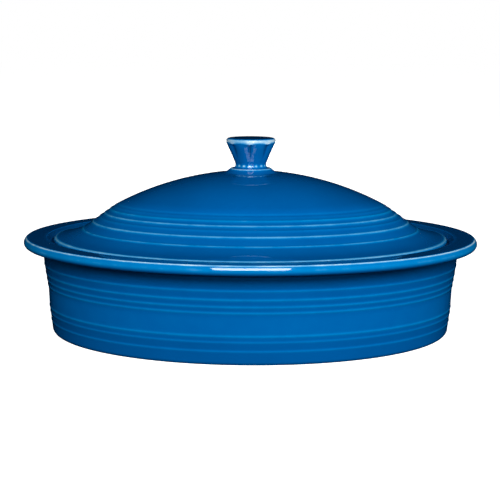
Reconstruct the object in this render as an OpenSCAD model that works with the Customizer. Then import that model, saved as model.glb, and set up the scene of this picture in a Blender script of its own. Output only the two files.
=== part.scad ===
// Oval covered casserole dish: a deep flanged dish, its domed lid and the fluted
// knob on the lid. Millimetres, +Z up, +X along the dish. The origin is the middle
// of the plane that the foot ring stands on.

/* [Dish] */
// Length over the flange
rim_length = 330; // [320:1:340]
// Width over the flange
rim_width = 261; // [258:1:264]
// Height of the flange's top above the table
rim_top = 70; // [68:0.5:72]
// Thickness of the flange, which has a full-round edge
rim_thick = 7; // [6:0.5:8]
// Half-length of the wall where it meets the flange
wall_top = 150.7; // [150.3:0.1:150.9]
// Half-length of the wall at the foot
wall_foot = 145.7; // [145.2:0.1:146.1]
// Thickness of the wall
wall_thick = 6.5; // [6.3:0.1:7]
// Thickness of the floor inside the foot ring
floor_thick = 5.5; // [5:0.5:6]

/* [Lid] */
// Half-length of the lid at its edge
lid_edge = 143.4; // [142.6:0.1:143.6]
// Thickness of the lid's edge
lid_edge_thick = 5.6; // [5:0.1:5.8]
// Thickness of the dome
dome_thick = 6; // [5:0.5:7]
// Height of the dome's crown above the table
crown_height = 116.6; // [116:0.1:117]
// Radius of the dome's arc along the length
crown_radius = 210; // [206:1:214]

/* [Knob] */
// Height of the knob's top above the table
knob_top = 141; // [140:0.5:143]
// Radius of the knob's top
knob_radius = 18; // [17.6:0.1:18.4]
// Radius at the waist
waist_radius = 11; // [10.6:0.1:11.4]
// Number of flutes
flutes = 8; // [7:1:9]

/* [Glaze] */
// Colour of the glaze on the dish
dish_colour = "#0b62a8";
// Colour of the glaze on the lid
lid_colour = "#0c6cb4";
// Colour of the glaze on the knob
knob_colour = "#2a80c4";

/* [Hidden] */
$fn = 180;

// Dish: half-lengths and heights of its section. The flange and the wall are two ovals,
// each with its own width as a share of its length, so that the flange is about as wide
// at the sides as at the ends.
rim_half = rim_length / 2;
oval_ratio = rim_width / rim_length;
wall_ratio = oval_ratio - 0.024;
rim_round = rim_thick / 2;
rim_under = rim_top - rim_thick;
waist_z = 33;          // top of the upright band of the wall
belt_z = 20;           // bottom of the upright band of the wall
belt_half = 147.5;
foot_round = 3.6;
foot_sink = 0.2;       // how far the foot's rounding is cut off to leave a flat
foot_inner = 134.5;    // inner half-length of the foot ring
foot_depth = 2;        // depth of the hollow inside the foot ring
bowl_floor = foot_depth + floor_thick;
bowl_round = 12;       // radius where the floor turns into the wall
throat_half = 137.5;   // half-length of the opening inside the lid's ledge
throat_z = 59;         // lowest level of the ledge's inner face
ledge_z = 63.6;        // level of the ledge that the lid rests on
recess_half = 144.8;   // half-length of the recess that holds the lid's edge
recess_lip = 148.2;    // half-length where the flange starts to slope into the recess
recess_slope = 2.2;    // depth of that slope
fillet_round = 4;      // between the wall and the flange's underside
wall_end = rim_under + 0.3; // the wall's top, just inside the flange
skirt_half = 145;      // half-length of the flange's root inside the wall
skirt_z = 51;

// Heights of the fine throwing ridges on the wall
wall_ridges = [50.3, 44.3, 39.5, 35.4, 19.8, 15.7, 9.5];
ridge_round = 1.1;
ridge_proud = 0.45;

// Lid: the seat, the brim, the stepped shoulder and the dome
seat_gap = 0.3;
lid_under = ledge_z + seat_gap;
lid_top_edge = lid_under + lid_edge_thick;
edge_round = 2.3;
brim_half = 122.4;     // where the brim meets the shoulder
brim_z = 75;
dome_half = 98;        // where the shoulder meets the dome
oval_drop_edge = lid_edge * (1 - oval_ratio); // half-length less half-width at the edge
oval_drop_dome = 34;   // half-length less half-width at the foot of the dome
oval_drop_power = 1.7; // above 1, the middle of the dome is rounder than its foot
seat_width = 9;        // width of the flat face that rests on the ledge
lid_sides = 64;        // facets round the lid
lid_ridges = [96.4, 99.4, 102.4, 106.4, 110.2, 115, 122.4];

// Collar under the knob, and the knob
collar_foot = 19;
collar_radius = 15.4;
collar_top = 118.9;
knob_foot_z = 120;     // where the flutes start above the knob's foot
knob_cap = 5;          // height of the plain band above the flutes
flute_low = 5.2;       // radius of a flute at the waist
flute_high = 8.6;      // radius of a flute at the top
flute_set_in = 0.2;    // how far the flutes' tops stay inside the band

function dome_z(a) = crown_height - crown_radius + sqrt(pow(crown_radius, 2) - a * a);
function ramp(x, x0, y0, x1, y1) = y0 + (y1 - y0) * (x - x0) / (x1 - x0);

// Height of the lid's plain upper surface at half-length a
function lid_z(a) =
    a <= dome_half ? dome_z(a) :
    a <= brim_half ? ramp(a, dome_half, dome_z(dome_half), brim_half, brim_z) :
    ramp(a, brim_half, brim_z, lid_edge - edge_round, lid_top_edge);

// Half-length less half-width: even on the brim and the shoulder, none at the collar
function oval_drop(a) =
    a >= dome_half ? ramp(a, lid_edge, oval_drop_edge, dome_half, oval_drop_dome) :
    oval_drop_dome * pow(max(0, ramp(a, collar_foot, 0, dome_half, 1)), oval_drop_power);

// Stations [half-length, height] of the lid's section, from the crown's middle over the
// top to the edge, and back underneath
function lid_section() = concat(
    [[collar_radius - 0.8, collar_top], [collar_radius, collar_top - 0.7]],
    [for (a = [collar_foot : 8.6 : dome_half - 5]) [a, dome_z(a)]],
    [for (a = lid_ridges, p = [[-0.8, 0], [0, ridge_proud], [0.8, 0]])
        [a + p[0], lid_z(a + p[0]) + p[1]]],
    [[132, lid_z(132)]],
    [for (t = [75 : -37.5 : -37.5])
        [lid_edge - edge_round + edge_round * cos(t), lid_top_edge - edge_round + edge_round * sin(t)]],
    [[lid_edge - 1, lid_under], [lid_edge - seat_width, lid_under]],
    [[lid_edge - seat_width - 3, lid_under + 2]],
    [for (a = [brim_half + 2, brim_half - 6, dome_half + 9, dome_half])
        [a - 2, lid_z(a) - dome_thick]],
    [for (a = [84, 70, 56, 42, 28, 14]) [a, dome_z(a) - dome_thick]]);

function oval_ring(s) = [for (i = [0 : lid_sides - 1])
    let (t = 360 * i / lid_sides)
    [s[0] * cos(t), (s[0] - oval_drop(s[0])) * sin(t), s[1]]];

// Half-length of the outside of the wall at height z
function wall_half(z) = lookup(z, [
    [foot_round, wall_foot], [belt_z, belt_half], [waist_z, belt_half + 0.5],
    [51, wall_top], [wall_end, wall_top + 0.8]]);

module wall_section() {
    foot_z = foot_round - foot_sink;
    polygon([
        [0, -1], [wall_foot - foot_round, -1], [wall_foot - foot_round, foot_z],
        [wall_foot, foot_z], [belt_half, belt_z], [belt_half + 0.5, waist_z],
        [wall_top, 51], [wall_top + 0.8, wall_end], [0, wall_end]]);
    translate([wall_foot - foot_round, foot_z]) circle(foot_round, $fn = 48);
    for (z = wall_ridges)
        translate([wall_half(z) + ridge_proud - ridge_round, z]) circle(ridge_round, $fn = 32);
    difference() {
        translate([wall_top - 1, wall_end - fillet_round])
            square([fillet_round + 0.8, fillet_round]);
        translate([wall_top + 1 + fillet_round, wall_end - fillet_round])
            circle(fillet_round, $fn = 48);
    }
}

module bowl_section() {
    inner = wall_foot - wall_thick;
    translate([0, bowl_floor]) square([inner - bowl_round, rim_top]);
    polygon([
        [0, bowl_floor + bowl_round], [inner, bowl_floor + bowl_round],
        [wall_top - wall_thick, 52], [wall_top - wall_thick + 0.5, rim_top], [0, rim_top]]);
    translate([inner - bowl_round, bowl_floor + bowl_round]) circle(bowl_round, $fn = 64);
}

module foot_hollow_section() {
    polygon([
        [0, -2], [foot_inner, -2], [foot_inner, 0],
        [foot_inner - foot_depth, foot_depth], [0, foot_depth]]);
}

// The flange with its root, the ledge inside its mouth and the recess for the lid's edge
module flange_section() {
    polygon([
        [throat_half, throat_z], [skirt_half, skirt_z], [skirt_half, rim_under],
        [rim_half - rim_round, rim_under], [rim_half - rim_round, rim_top],
        [recess_lip, rim_top], [recess_half, rim_top - recess_slope],
        [recess_half, ledge_z], [throat_half, ledge_z]]);
    translate([rim_half - rim_round, rim_top - rim_round]) circle(rim_round, $fn = 48);
}

// Each section is turned round Z, then narrowed along Y into an oval. The foot is cut flat.
module dish() {
    color(dish_colour) difference() {
        union() {
            scale([1, wall_ratio, 1]) rotate_extrude() difference() {
                wall_section();
                bowl_section();
                foot_hollow_section();
            }
            scale([1, oval_ratio, 1]) rotate_extrude() flange_section();
        }
        translate([-rim_length / 2, -rim_width / 2, -3]) cube([rim_length, rim_width, 3]);
    }
}

module lid() {
    rows = lid_section();
    last = len(rows) - 1;
    n = lid_sides;
    points = concat(
        [[0, 0, collar_top]],
        [for (s = rows) each oval_ring(s)],
        [[0, 0, crown_height - dome_thick]]);
    foot = len(points) - 1;
    faces = concat(
        [for (i = [0 : n - 1]) [0, 1 + (i + 1) % n, 1 + i]],
        [for (k = [0 : last - 1], i = [0 : n - 1])
            let (p = 1 + k * n + i, q = 1 + k * n + (i + 1) % n) each [[p, q, q + n], [p, q + n, p + n]]],
        [for (i = [0 : n - 1]) [foot, 1 + last * n + i, 1 + last * n + (i + 1) % n]]);
    color(lid_colour) polyhedron(points, faces);
}

// One flute: a tapered round rib that leans outwards from the waist to the top
module flute() {
    rise = knob_top - knob_cap - knob_foot_z;
    low = waist_radius - flute_low;
    lean = atan((knob_radius - flute_set_in - flute_high - low) / rise);
    translate([low, 0, knob_foot_z]) rotate([0, lean, 0])
        cylinder(h = rise / cos(lean) + 1, r1 = flute_low, r2 = flute_high, $fn = 48);
}

module knob_turned_section() {
    polygon([
        [0, collar_top], [12.6, collar_top], [waist_radius, collar_top + 1],
        [waist_radius - 0.8, knob_foot_z + 1], [knob_radius - 2.8, knob_top - knob_cap - 2],
        [knob_radius - 0.9, knob_top - knob_cap], [knob_radius, knob_top - 3.2], [0, knob_top - 3.2]]);
    translate([0, knob_top - 3.2]) square([knob_radius - 3.2, 3.2]);
    translate([knob_radius - 3.2, knob_top - 3.2]) circle(3.2, $fn = 48);
}

module lid_knob() {
    color(knob_colour) union() {
        rotate_extrude() knob_turned_section();
        for (i = [0 : flutes - 1])
            rotate([0, 0, 360 * (i + 0.5) / flutes - 93]) flute();
    }
}

dish();
lid();
lid_knob();
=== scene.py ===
import math

import bpy
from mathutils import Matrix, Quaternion, Vector


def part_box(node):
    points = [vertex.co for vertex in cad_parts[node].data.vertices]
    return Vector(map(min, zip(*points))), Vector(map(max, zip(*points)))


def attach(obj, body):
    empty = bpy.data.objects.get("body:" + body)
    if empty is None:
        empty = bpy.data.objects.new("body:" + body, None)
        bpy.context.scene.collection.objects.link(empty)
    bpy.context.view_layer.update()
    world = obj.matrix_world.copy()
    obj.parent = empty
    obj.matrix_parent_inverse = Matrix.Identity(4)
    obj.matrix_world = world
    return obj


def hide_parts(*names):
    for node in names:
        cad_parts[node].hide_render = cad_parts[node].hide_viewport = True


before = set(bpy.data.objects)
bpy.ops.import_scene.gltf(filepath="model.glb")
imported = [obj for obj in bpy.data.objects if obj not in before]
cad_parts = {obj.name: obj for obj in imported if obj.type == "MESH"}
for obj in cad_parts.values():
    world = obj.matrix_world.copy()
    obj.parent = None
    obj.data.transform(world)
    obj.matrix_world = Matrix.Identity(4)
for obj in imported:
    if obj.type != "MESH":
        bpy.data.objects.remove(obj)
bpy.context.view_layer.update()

# ---------------------------------------------------------------- sizes, all from the frame
MM = 0.001
dish_lo, dish_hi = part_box("dish")
lid_lo, lid_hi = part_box("lid")
knob_lo, knob_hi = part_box("lid_knob")

RIM_HALF = dish_hi[0] / MM            # half-length over the flange
OVAL = dish_hi[1] / dish_hi[0]        # the flange's width as a share of its length
WALL_OVAL = 0.767                     # the same for the wall
RIM_TOP = dish_hi[2] / MM
RIM_UNDER = RIM_TOP - 7               # the flange is 7 mm thick
LID_HALF = lid_hi[0] / MM
LID_DROP = (lid_hi[0] - lid_hi[1]) / MM   # half-length less half-width at the lid's edge
LID_UNDER = lid_lo[2] / MM
COLLAR_TOP = lid_hi[2] / MM
KNOB_RADIUS = knob_hi[0] / MM
KNOB_TOP = knob_hi[2] / MM

SIDES = 288                           # points round every oval
LEDGE_Z = LID_UNDER - 0.3             # the ledge that the lid rests on
TOP_SHADE_DEPTH = 0.2                      # how much the painted shade darkens a surface that faces straight up


# ---------------------------------------------------------------- camera
def make_camera():
    """A long lens from a little above, looking along +Y at the dish's long side."""
    elevation, roll = math.radians(9.6), math.radians(0.27)
    distance, target = 884 * MM, Vector((0, 0, 57.8 * MM))
    away = Vector((0, -math.cos(elevation), math.sin(elevation)))
    data = bpy.data.cameras.new("camera")
    data.sensor_width = 36
    data.lens = 86.4
    data.shift_x, data.shift_y = -0.0008, 0.001
    data.clip_end = 60
    camera = bpy.data.objects.new("camera", data)
    camera.location = target + distance * away
    camera.rotation_mode = "QUATERNION"
    camera.rotation_quaternion = away.to_track_quat("Z", "Y") @ Quaternion((0, 0, 1), roll)
    bpy.context.scene.collection.objects.link(camera)
    bpy.context.scene.camera = camera


make_camera()


# ---------------------------------------------------------------- sections
# A section is a list of stations (half-length, height, thin glaze and painted light, bare) in
# millimetres. The third says how far the glaze has run off an edge, up to 1, with painted light
# where it rises on a plain face and painted shade where it is below 0. bare is 1 where the clay
# is left dry. loft adds painted shade on places that face up, from 0 to 1.
def line(start, end, count, thin_and_light=0.0, bare=0.0):
    """Stations along a straight stretch, without its end."""
    return [(start[0] + (end[0] - start[0]) * k / count,
             start[1] + (end[1] - start[1]) * k / count, thin_and_light, bare) for k in range(count)]


def arc(centre, radius, start, end, count, thin_and_light=0.0, bare=0.0):
    """Stations round an arc from one angle to another in degrees, both ends included."""
    rows = []
    for k in range(count + 1):
        t = math.radians(start + (end - start) * k / count)
        a, z = centre[0] + radius * math.cos(t), centre[1] + radius * math.sin(t)
        rows.append((a, z, thin_and_light, bare))
    return rows


def ramp(x, knots):
    """Height of the straight-sided graph through the knots, level after the last one."""
    for (x0, y0), (x1, y1) in zip(knots, knots[1:]):
        if x <= x1:
            return y0 + (y1 - y0) * (x - x0) / (x1 - x0)
    return knots[-1][1]


def soft(graph, x, reach=1.6):
    """The graph with its corners rounded."""
    steps = (-1, -0.5, 0, 0.5, 1)
    return sum(graph(x + reach * s) for s in steps) / len(steps)


def bump(x):
    """A round-topped ridge of unit height and about unit half-width."""
    return math.exp(-x * x * 1.4)


def step(x):
    """A soft step from 0 to 1 as x goes from 0 to 1."""
    x = min(1, max(0, x))
    return x * x * (3 - 2 * x)


def stops(lo, hi, ridges, width, gap):
    """Places to put a station: close together at each ridge, wide apart between them."""
    near = (-2.6, -1.9, -1.4, -1.05, -0.75, -0.5, -0.25, 0, 0.25, 0.5, 0.75, 1.05, 1.4, 1.9, 2.6)
    count = round((hi - lo) / gap)
    places = [lo + (hi - lo) * k / count for k in range(count + 1)]
    places = [p for p in places if all(abs(p - r) > 2.8 * width for r in ridges)]
    for r in ridges:
        places += [r + n * width for n in near if lo < r + n * width < hi]
    places.sort()
    kept = []
    for p in places:
        if not kept or p - kept[-1] > 0.12 * width:
            kept.append(p)
    return kept


# ---------------------------------------------------------------- meshes
def loft(name, rows, width, lobes=None, extra_thin_and_light=None):
    """A closed surface through one oval for each station, with a pole at both ends.

    width gives an oval's half-width, lobes a swelling round it and the last function extra thin
    glaze with painted light and shade.
    """
    level_from, level_power = 0.86, 1.6
    verts, thin_and_light, bare = [], [], []
    for a, z, t, dry in rows:
        b = width(a, z)
        for k in range(SIDES):
            angle = 2 * math.pi * k / SIDES
            swell = lobes(angle, z) if lobes else 1.0
            verts.append((a * swell * math.cos(angle) * MM, b * swell * math.sin(angle) * MM,
                          z * MM))
            thin_and_light.append(t + (extra_thin_and_light(angle, z) if extra_thin_and_light else 0.0))
            bare.append(dry)
    first, last = len(verts), len(verts) + 1
    for row in (rows[0], rows[-1]):
        verts.append((0, 0, row[1] * MM))
        thin_and_light.append(row[2])
        bare.append(row[3])
    faces = []
    for r in range(len(rows) - 1):
        for k in range(SIDES):
            p, q = r * SIDES + k, r * SIDES + (k + 1) % SIDES
            faces.append((p, q, q + SIDES, p + SIDES))
    top = (len(rows) - 1) * SIDES
    for k in range(SIDES):
        faces.append((first, (k + 1) % SIDES, k))
        faces.append((last, top + k, top + (k + 1) % SIDES))
    mesh = bpy.data.meshes.new(name)
    mesh.from_pydata(verts, [], faces)
    mesh.polygons.foreach_set("use_smooth", [True] * len(faces))
    mesh.update()
    # Painted shade: surfaces that face up are darkened, most where they face straight up.
    top_shade_amount = [max(0.0, (vertex.normal.z - level_from) / (1 - level_from)) ** level_power
            for vertex in mesh.vertices]
    for label, values in (("thin_glaze_and_light", thin_and_light), ("bare_clay", bare), ("painted_top_shade", top_shade_amount)):
        layer = mesh.attributes.new(label, "FLOAT", "POINT")
        layer.data.foreach_set("value", values)
    piece = bpy.data.objects.new(name, mesh)
    bpy.context.scene.collection.objects.link(piece)
    return piece


# ---------------------------------------------------------------- dish
# The wall's half-length by height, without its ridges
WALL = [(3.6, 145.7), (20, 147.5), (33, 148), (51, 150.7), (63.3, 151.5), (66, 151.7)]
WALL_RIDGES = (9.5, 15.7, 19.8, 35.4, 39.5, 44.3, 50.3)
WALL_RIDGE_THIN = (0.204, 0.187, 0.272, 0.289, 0.289, 0.323, 0.255)
WALL_RIDGE_RISE = 0.26
# Painted light and shade on the plain wall by height: a little darker low down, lighter on the
# upright band, and a painted shadow under the flange
WALL_LIGHT_AND_SHADE = [(3.7, -0.03), (16, -0.02), (21, 0.07), (31, 0.07), (36, 0.0), (49, 0.0),
             (55, -0.12), (66, -0.12)]


def dish_width(a, z):
    """Half-width at half-length a: the wall is a narrower oval than the flange."""
    return a * (WALL_OVAL + (OVAL - WALL_OVAL) * step((z - 56) / 5.5))


def dish_rows():
    """From under the floor out to the foot ring, up the wall, over the flange and inside."""
    rows = line((6, 2), (130, 2), 12)
    rows += arc((131.6, 3), 1, -90, -45, 3)
    rows += line((132.5, 2), (134.4, 0.4), 3)
    rows += line((134.8, 0), (142.4, 0), 5)
    rows += arc((142.1, 3.4), 3.6, -70, -6, 10)
    dry_from, dry_to, dry_top = 133, 143.9, 0.7
    rows = [(a, z, t, 1.0 if dry_from < a < dry_to and z < dry_top else 0.0)
            for a, z, t, _ in rows]
    for z in stops(3.7, RIM_UNDER - 3.2, WALL_RIDGES, 0.95, 1.6):
        a = soft(lambda x: ramp(max(x, 3.6), WALL), z)
        thin_and_light = ramp(z, WALL_LIGHT_AND_SHADE)
        for ridge, shade in zip(WALL_RIDGES, WALL_RIDGE_THIN):
            a += WALL_RIDGE_RISE * bump((z - ridge) / 0.95)
            thin_and_light += shade * bump((z - ridge - 0.1) / 1.15)
        rows.append((a, z, thin_and_light, 0.0))
    # Painted shadow on the fillet under the flange.
    rows += arc((155.3, RIM_UNDER - 4), 4, 165, 92, 10, thin_and_light=-0.1)
    rows += line((156, RIM_UNDER), (161, RIM_UNDER), 3)
    rows += rim_round()
    rows += line((161, RIM_TOP), (149.2, RIM_TOP - 0.05), 7)
    rows += arc((149, RIM_TOP - 1.2), 1.1, 84, 124, 5, thin_and_light=0.12)
    # Painted shade down the slope into the lid's seat.
    rows += line((148, RIM_TOP - 0.45), (145.4, RIM_TOP - 2.0), 4, thin_and_light=-0.15)
    rows += line((145, RIM_TOP - 2.5), (144.8, LEDGE_Z + 1.2), 5)
    rows += arc((143.8, LEDGE_Z + 1.0), 1.0, 0, -90, 6)
    rows += line((142.8, LEDGE_Z), (139.4, LEDGE_Z), 4)
    rows += arc((138.9, LEDGE_Z - 1.4), 1.4, 90, 180, 8, thin_and_light=0.3)
    rows += line((137.5, LEDGE_Z - 2.4), (137.5, 59.6), 3)
    rows += line((137.6, 59), (143.6, 52.6), 8)
    rows += line((143.9, 51.6), (137.8, 21), 16)
    rows += arc((125.7, 19.5), 12, -2, -90, 16)
    rows += line((122, 7.5), (4, 7.5), 14)
    return rows


def rim_thin_and_highlight(slope):
    """Painted highlight over the flange's round face, and glaze run thin in a line just below its
    top.
    """
    return 0.42 * bump((slope - 12) / 40) + 0.85 * bump((slope - 58) / 17)


def rim_round():
    """Stations round the flange's edge, which is flattest where it leans back a little."""
    round_radius, extra_radius, flattest, spread = 2.95, 2.6, 26, 12
    path, a, z, steps = [], 0.0, 0.0, 90
    for k in range(steps):
        slope = -90 + 180 * (k + 0.5) / steps
        radius = round_radius + extra_radius * math.exp(-((slope - flattest) / spread) ** 2)
        path.append((a, z, slope))
        a -= radius * math.sin(math.radians(slope)) * math.pi / steps
        z += radius * math.cos(math.radians(slope)) * math.pi / steps
    out = max(a for a, _, _ in path)
    scale = (RIM_TOP - RIM_UNDER) / z
    return [(RIM_HALF + (a - out) * scale, RIM_UNDER + z * scale, rim_thin_and_highlight(slope), 0.0)
            for a, z, slope in path[2::2]]


# ---------------------------------------------------------------- lid
CROWN_Z, CROWN_ARC = 116.6, 210
DOME_HALF, BRIM_HALF, BRIM_Z = 98.0, 122.4, 75.0
DOME_DROP = 34.0                      # half-length less half-width at the dome's foot
DOME_POWER = 1.5                      # above 1, the middle of the dome is rounder than its foot
COLLAR_FOOT = 19.0                    # half-length where the dome meets the collar
LID_THICK, DOME_THICK = 5.6, 6        # at the edge, and from the shoulder inwards
LID_RIDGES = (96.4, 99.4, 102.4, 106.4, 110.2, 115.0, 122.4)
LID_RIDGE_RISE = (0.0, 0.2, 0.42, 0.42, 0.42, 0.42, 0.42)
LID_RIDGE_THIN = (0.12, 0.05, 0.36, 0.52, 0.12, 0.56, 0.42)
# Painted light and shade on the plain lid by half-length: darker on the dome and at the edge of
# the brim, a little lighter between
LID_LIGHT_AND_SHADE = [(18, -0.07), (88, -0.06), (95, 0.02), (100, 0.04), (128, 0.05), (136, -0.02),
            (144, -0.03)]
LID_EDGE_THIN, LID_THIN_MOST = 0.72, 0.7   # at the edge, and the most on the ridges


def dome_z(a):
    """Height of the dome, an arc along the lid's length."""
    return CROWN_Z - CROWN_ARC + math.sqrt(CROWN_ARC ** 2 - a * a)


def lid_z(a):
    """Height of the lid's upper surface without its ridges."""
    if a <= DOME_HALF:
        return dome_z(a)
    return ramp(a, [(DOME_HALF, dome_z(DOME_HALF)), (BRIM_HALF, BRIM_Z), (127, 73.2), (133, 71.3),
                    (138, 70.1), (LID_HALF - 1.6, LID_UNDER + LID_THICK)])


def lid_width(a, z):
    """Half-width: the dome is rounder in its middle, and the brim is about even all round."""
    if a >= DOME_HALF:
        return a - LID_DROP - (DOME_DROP - LID_DROP) * (LID_HALF - a) / (LID_HALF - DOME_HALF)
    along = max(0.0, (a - COLLAR_FOOT) / (DOME_HALF - COLLAR_FOOT))
    return a - DOME_DROP * along ** DOME_POWER


def edge_thin(centre, a, z, slope, spread):
    """Glaze run thin round an edge, most where the edge faces slope degrees above level."""
    return bump((math.degrees(math.atan2(z - centre[1], a - centre[0])) - slope) / spread)


def lid_rows():
    """From the collar's top down the dome and the brim to the edge, and back underneath."""
    rows = line((2, COLLAR_TOP), (14.2, COLLAR_TOP), 6)
    rows += arc((14.4, COLLAR_TOP - 0.9), 0.9, 88, 40, 6, thin_and_light=0.8)
    rows += [(15.6, COLLAR_TOP - 0.8, 0.2, 0), (16.3, COLLAR_TOP - 1.4, 0, 0),
             (17.1, COLLAR_TOP - 2.0, 0, 0), (17.9, COLLAR_TOP - 2.5, 0, 0),
             (18.7, COLLAR_TOP - 2.9, 0, 0)]
    for a in stops(COLLAR_FOOT + 0.6, LID_HALF - 3.2, LID_RIDGES, 0.75, 2.2):
        z = soft(lid_z, a, 1.1)
        thin_and_light = ramp(a, LID_LIGHT_AND_SHADE)
        for ridge, rise, shade in zip(LID_RIDGES, LID_RIDGE_RISE, LID_RIDGE_THIN):
            z += rise * bump((a - ridge) / 0.9)
            thin_and_light += shade * bump((a - ridge - 0.1) / 1.05)
        rows.append((a, z, min(thin_and_light, LID_THIN_MOST), 0.0))
    edge = 2.2
    centre = (LID_HALF - edge, LID_UNDER + LID_THICK - edge)
    rows += [(a, z, LID_EDGE_THIN * edge_thin(centre, a, z, 62, 42), 0.0)
             for a, z, _, _ in arc(centre, edge, 80, -10, 16)]
    rows += arc((LID_HALF - 1.1, LID_UNDER + 1.0), 1.0, -14, -90, 5, bare=1)
    rows += line((LID_HALF - 1.6, LID_UNDER), (LID_HALF - 8.6, LID_UNDER), 5, bare=1)
    rows += arc((LID_HALF - 9, LID_UNDER + 1), 1, -90, -160, 4)
    inner = [(LID_HALF - 12, LID_UNDER + 2.2)]
    inner += [(a, lid_z(a + 2) - DOME_THICK) for a in (BRIM_HALF, 112, 105, 96)]
    for start, end in zip(inner, inner[1:]):
        rows += line(start, end, 4)
    rows += [(a, dome_z(a) - DOME_THICK, 0.0, 0.0) for a in range(92, 0, -6)]
    return rows


# ---------------------------------------------------------------- knob
FLUTES = 8
FLUTE_TURN = math.radians(-93)        # a crease stands just left of the middle of the front
CREASE_FOOT, CREASE_DEEP = 119.3, 124 # heights where creases begin and start to deepen
CREASE_TOP, CREASE_RUN = 137.0, 8     # where they end, and the height they take to deepen
# The knob's radius by height, measured over its ribs
KNOB_SIDE = [(COLLAR_TOP, 12.6), (COLLAR_TOP + 0.5, 12.0), (120.4, 11.5), (121.4, 11.3),
             (122.4, 11.4), (123.1, 11.7), (125.7, 12.8), (128.7, 14.2),
             (131.6, 15.7), (134.5, 17.1), (136, 17.6), (137.4, KNOB_RADIUS)]


def rib_place(angle):
    """How far round a rib an angle is: 0 in its middle, and half a rib's width at a crease."""
    pitch = 2 * math.pi / FLUTES
    return (angle - FLUTE_TURN) % pitch - pitch / 2


def knob_lobes(angle, z):
    """Rounded ribs with sharp creases: shallow low down, and none at the foot and the rim."""
    fade = min(1, max(0.25, (z - CREASE_DEEP) / CREASE_RUN)) * min(1, max(0, z - CREASE_FOOT))
    fade *= min(1, max(0, (CREASE_TOP - z) / 1.6))
    return 1 + fade * (math.cos(rib_place(angle)) - 1)


def knob_glaze_and_light(angle, z):
    """A band of thin glaze with a painted highlight, dipping at each crease, painted glints at
    the foot, and painted shade in the creases.
    """
    crease = abs(rib_place(angle)) * FLUTES / math.pi
    # Thin glaze with a painted highlight round the top band.
    band = 0.9 * step((z - CREASE_TOP + 1.1 * crease ** 3) / 1.3) * step((140.6 - z) / 0.9)
    # Painted glints where each rib meets the foot.
    foot_glints = 0.75 * bump((z - 121.2) / 1.1) * math.cos(FLUTES * (angle - FLUTE_TURN)) ** 2
    # Painted shade in the creases.
    crease_shade = step((crease - 0.70) / 0.25) * step((z - CREASE_DEEP) / CREASE_RUN)
    crease_shade *= step((138 - z) / 1.5)
    return band + foot_glints - 0.26 * crease_shade


def knob_rows():
    """From the foot up the flutes to the round edge and over the top."""
    side_top = 137.6
    rows = [(3, COLLAR_TOP, 0, 0), (8, COLLAR_TOP, 0, 0)]
    steps = 48
    for k in range(steps + 1):
        z = COLLAR_TOP + (side_top - COLLAR_TOP) * k / steps
        # A painted highlight ring round the foot, and painted light that grows up the flare.
        thin_and_light = 0.3 * bump((z - 120.6) / 0.6) + 0.10 * min(1, (z - COLLAR_TOP) / 6)
        rows.append((soft(lambda x: ramp(max(x, COLLAR_TOP), KNOB_SIDE), z, 0.4), z, thin_and_light, 0.0))
    edge = 2.4
    centre = (KNOB_RADIUS - edge, KNOB_TOP - 2.6)
    rows += arc(centre, edge, 3, 84, 20)
    for k in range(1, 10):
        a = (centre[0] + 0.2) * (1 - k / 10)
        rows.append((a, KNOB_TOP - 0.2 * (a / centre[0]) ** 2, 0.0, 0.0))
    return rows


# ---------------------------------------------------------------- materials
def node(tree, kind, **settings):
    """A new shader node with its settings."""
    made = tree.nodes.new(kind)
    for key, value in settings.items():
        setattr(made, key, value)
    return made


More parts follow.
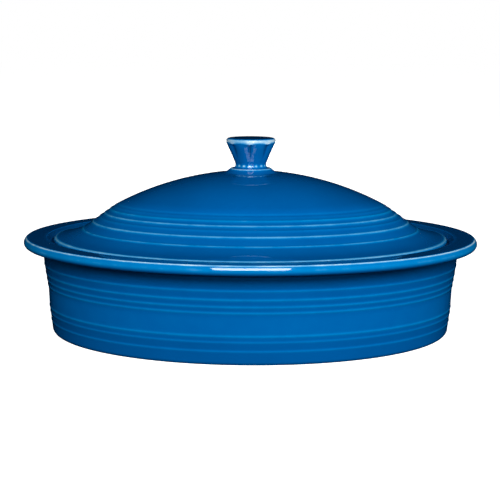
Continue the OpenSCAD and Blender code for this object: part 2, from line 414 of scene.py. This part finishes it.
def glaze(name):
    """Clear-blue gloss glaze: pale where it runs thin over an edge, with painted light and shade
    from the stations and painted shade on surfaces that face up.
    """
    material = bpy.data.materials.new(name)
    material.use_nodes = True
    tree = material.node_tree
    shader = tree.nodes["Principled BSDF"]
    link = tree.links.new
    place = node(tree, "ShaderNodeTexCoord").outputs["Object"]

    def noise(scale, detail, rough):
        made = node(tree, "ShaderNodeTexNoise")
        made.inputs["Scale"].default_value = scale
        made.inputs["Detail"].default_value = detail
        made.inputs["Roughness"].default_value = rough
        link(place, made.inputs["Vector"])
        return made.outputs["Fac"]

    def remap(source, lo, hi, to_lo, to_hi):
        made = node(tree, "ShaderNodeMapRange")
        limits = {"From Min": lo, "From Max": hi, "To Min": to_lo, "To Max": to_hi}
        for socket, value in limits.items():
            made.inputs[socket].default_value = value
        link(source, made.inputs["Value"])
        return made.outputs["Result"]

    def maths(operation, a, b):
        made = node(tree, "ShaderNodeMath", operation=operation)
        for socket, value in zip(made.inputs, (a, b)):
            if isinstance(value, (int, float)):
                socket.default_value = value
            else:
                link(value, socket)
        return made.outputs[0]

    thin_and_light = node(tree, "ShaderNodeAttribute", attribute_name="thin_glaze_and_light").outputs["Fac"]
    top_shade = node(tree, "ShaderNodeAttribute", attribute_name="painted_top_shade").outputs["Fac"]
    bare = node(tree, "ShaderNodeAttribute", attribute_name="bare_clay").outputs["Fac"]

    # Thin glaze, and the painted light and shade carried with it, breaks unevenly along an edge,
    # and the whole coat is faintly cloudy.
    broken = maths("MULTIPLY", thin_and_light, remap(noise(90, 3, 0.6), 0.3, 0.7, 0.82, 1.12))
    cloudy = remap(noise(22, 4, 0.55), 0.3, 0.7, -0.025, 0.025)
    # Painted shade takes the tone down on surfaces that face up.
    level = maths("SUBTRACT", maths("ADD", broken, cloudy), maths("MULTIPLY", top_shade, TOP_SHADE_DEPTH))
    ramp_place = remap(level, -TOP_SHADE_DEPTH, 1.0, 0.0, 1.0)
    colour = node(tree, "ShaderNodeValToRGB")
    stops_at = [(0.0, (0.0, 0.057, 0.203)), (0.167, (0.0, 0.098, 0.345)),
                (0.208, (0.0, 0.112, 0.385)), (0.5, (0.0, 0.20, 0.53)),
                (0.75, (0.10, 0.40, 0.70)), (1.0, (0.64, 0.80, 0.88))]
    ramp_stops = colour.color_ramp.elements
    while len(ramp_stops) < len(stops_at):
        ramp_stops.new(0.5)
    for element, (where, rgb) in zip(ramp_stops, stops_at):
        element.position = where
        element.color = (*rgb, 1)
    link(ramp_place, colour.inputs["Fac"])

    # Dry clay: warm off-white with fine specks.
    clay = node(tree, "ShaderNodeMix", data_type="RGBA")
    clay.inputs["A"].default_value = (0.62, 0.52, 0.40, 1)
    clay.inputs["B"].default_value = (0.74, 0.66, 0.54, 1)
    link(remap(noise(900, 2, 0.6), 0.4, 0.6, 0, 1), clay.inputs["Factor"])
    base = node(tree, "ShaderNodeMix", data_type="RGBA")
    link(remap(bare, 0.35, 0.65, 0, 1), base.inputs["Factor"])
    link(colour.outputs["Color"], base.inputs["A"])
    link(clay.outputs["Result"], base.inputs["B"])
    link(base.outputs["Result"], shader.inputs["Base Color"])

    # Gloss with a trace of unevenness; the dry clay is matt.
    sheen = remap(noise(35, 3, 0.5), 0.3, 0.7, 0.035, 0.06)
    link(maths("MAXIMUM", sheen, maths("MULTIPLY", bare, 0.75)), shader.inputs["Roughness"])
    shader.inputs["IOR"].default_value = 1.58

    # Orange peel in the glaze, and a fine tooth on the dry clay.
    peel = node(tree, "ShaderNodeBump")
    peel.inputs["Strength"].default_value = 0.05
    peel.inputs["Distance"].default_value = 0.0005
    link(noise(120, 2, 0.4), peel.inputs["Height"])
    tooth = node(tree, "ShaderNodeBump")
    tooth.inputs["Distance"].default_value = 0.0002
    link(noise(2500, 2, 0.6), tooth.inputs["Height"])
    link(maths("MULTIPLY", bare, 0.5), tooth.inputs["Strength"])
    link(peel.outputs["Normal"], tooth.inputs["Normal"])
    link(tooth.outputs["Normal"], shader.inputs["Normal"])
    return material


def plain_floor(name):
    """Pale matt paper that glows a little, so that it stays near white."""
    material = bpy.data.materials.new(name)
    material.use_nodes = True
    tree = material.node_tree
    shader = tree.nodes["Principled BSDF"]
    grain = node(tree, "ShaderNodeTexNoise")
    grain.inputs["Scale"].default_value = 60
    tint = node(tree, "ShaderNodeMix", data_type="RGBA")
    tint.inputs["A"].default_value = (0.90, 0.90, 0.90, 1)
    tint.inputs["B"].default_value = (0.93, 0.93, 0.93, 1)
    tree.links.new(grain.outputs["Fac"], tint.inputs["Factor"])
    tree.links.new(tint.outputs["Result"], shader.inputs["Base Color"])
    shader.inputs["Roughness"].default_value = 0.9
    shader.inputs["Specular IOR Level"].default_value = 0.1
    shader.inputs["Emission Color"].default_value = (1, 1, 1, 1)
    shader.inputs["Emission Strength"].default_value = 1.0
    return material


# ---------------------------------------------------------------- pieces
blue_glaze = glaze("blue_glaze")

dish = loft("dish_glazed", dish_rows(), dish_width)
lid = loft("lid_glazed", lid_rows(), lid_width)
knob = loft("knob_glazed", knob_rows(), lambda a, z: a, knob_lobes, knob_glaze_and_light)
for piece, body, cad_node in ((dish, "dish", "dish"), (lid, "lid", "lid"),
                              (knob, "lid", "lid_knob")):
    piece.data.materials.append(blue_glaze)
    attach(piece, body)
    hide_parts(cad_node)


# ---------------------------------------------------------------- floor, world and lights
def make_floor():
    """A wide white table that the dish stands on."""
    half = 12
    mesh = bpy.data.meshes.new("floor")
    mesh.from_pydata([(-half, -half, 0), (half, -half, 0), (half, half, 0), (-half, half, 0)], [],
                     [(0, 1, 2, 3)])
    mesh.materials.append(plain_floor("floor_paper"))
    floor = bpy.data.objects.new("floor", mesh)
    bpy.context.scene.collection.objects.link(floor)
    floor.visible_glossy = False
    floor.visible_diffuse = False


def make_world():
    """A white backdrop that lights nothing and shows in no reflection."""
    world = bpy.data.worlds.new("studio")
    bpy.context.scene.world = world
    world.use_nodes = True
    world.node_tree.nodes["Background"].inputs["Color"].default_value = (1, 1, 1, 1)
    world.cycles_visibility.glossy = False
    world.cycles_visibility.diffuse = False


def softbox(name, azimuth, elevation, distance, width, height, power, shows=True):
    """A rectangular area light facing the dish; azimuth 0 is in front of it, along -Y."""
    data = bpy.data.lights.new(name, "AREA")
    data.shape = "RECTANGLE"
    data.size, data.size_y = width, height
    data.energy = power
    lamp = bpy.data.objects.new(name, data)
    az, el = math.radians(azimuth), math.radians(elevation)
    centre = Vector((0, 0, 0.07))
    away = Vector((math.sin(az) * math.cos(el), -math.cos(az) * math.cos(el), math.sin(el)))
    lamp.location = centre + distance * away
    lamp.rotation_euler = away.to_track_quat("Z", "Y").to_euler()
    lamp.visible_glossy = shows
    bpy.context.scene.collection.objects.link(lamp)


make_floor()
make_world()
softbox("key", 0.4, 26, 1.6, 0.83, 0.72, 24)
softbox("fill_front", 22, 32, 1.8, 1.2, 0.8, 5.5, shows=False)
softbox("fill_right", 62, 14, 1.8, 1.4, 1.0, 12, shows=False)
softbox("fill_left", -62, 10, 1.8, 1.4, 1.0, 4.4, shows=False)
softbox("fill_back", 180, 6, 1.8, 1.4, 0.8, 13, shows=False)
bpy.context.scene.view_settings.view_transform = "Standard"
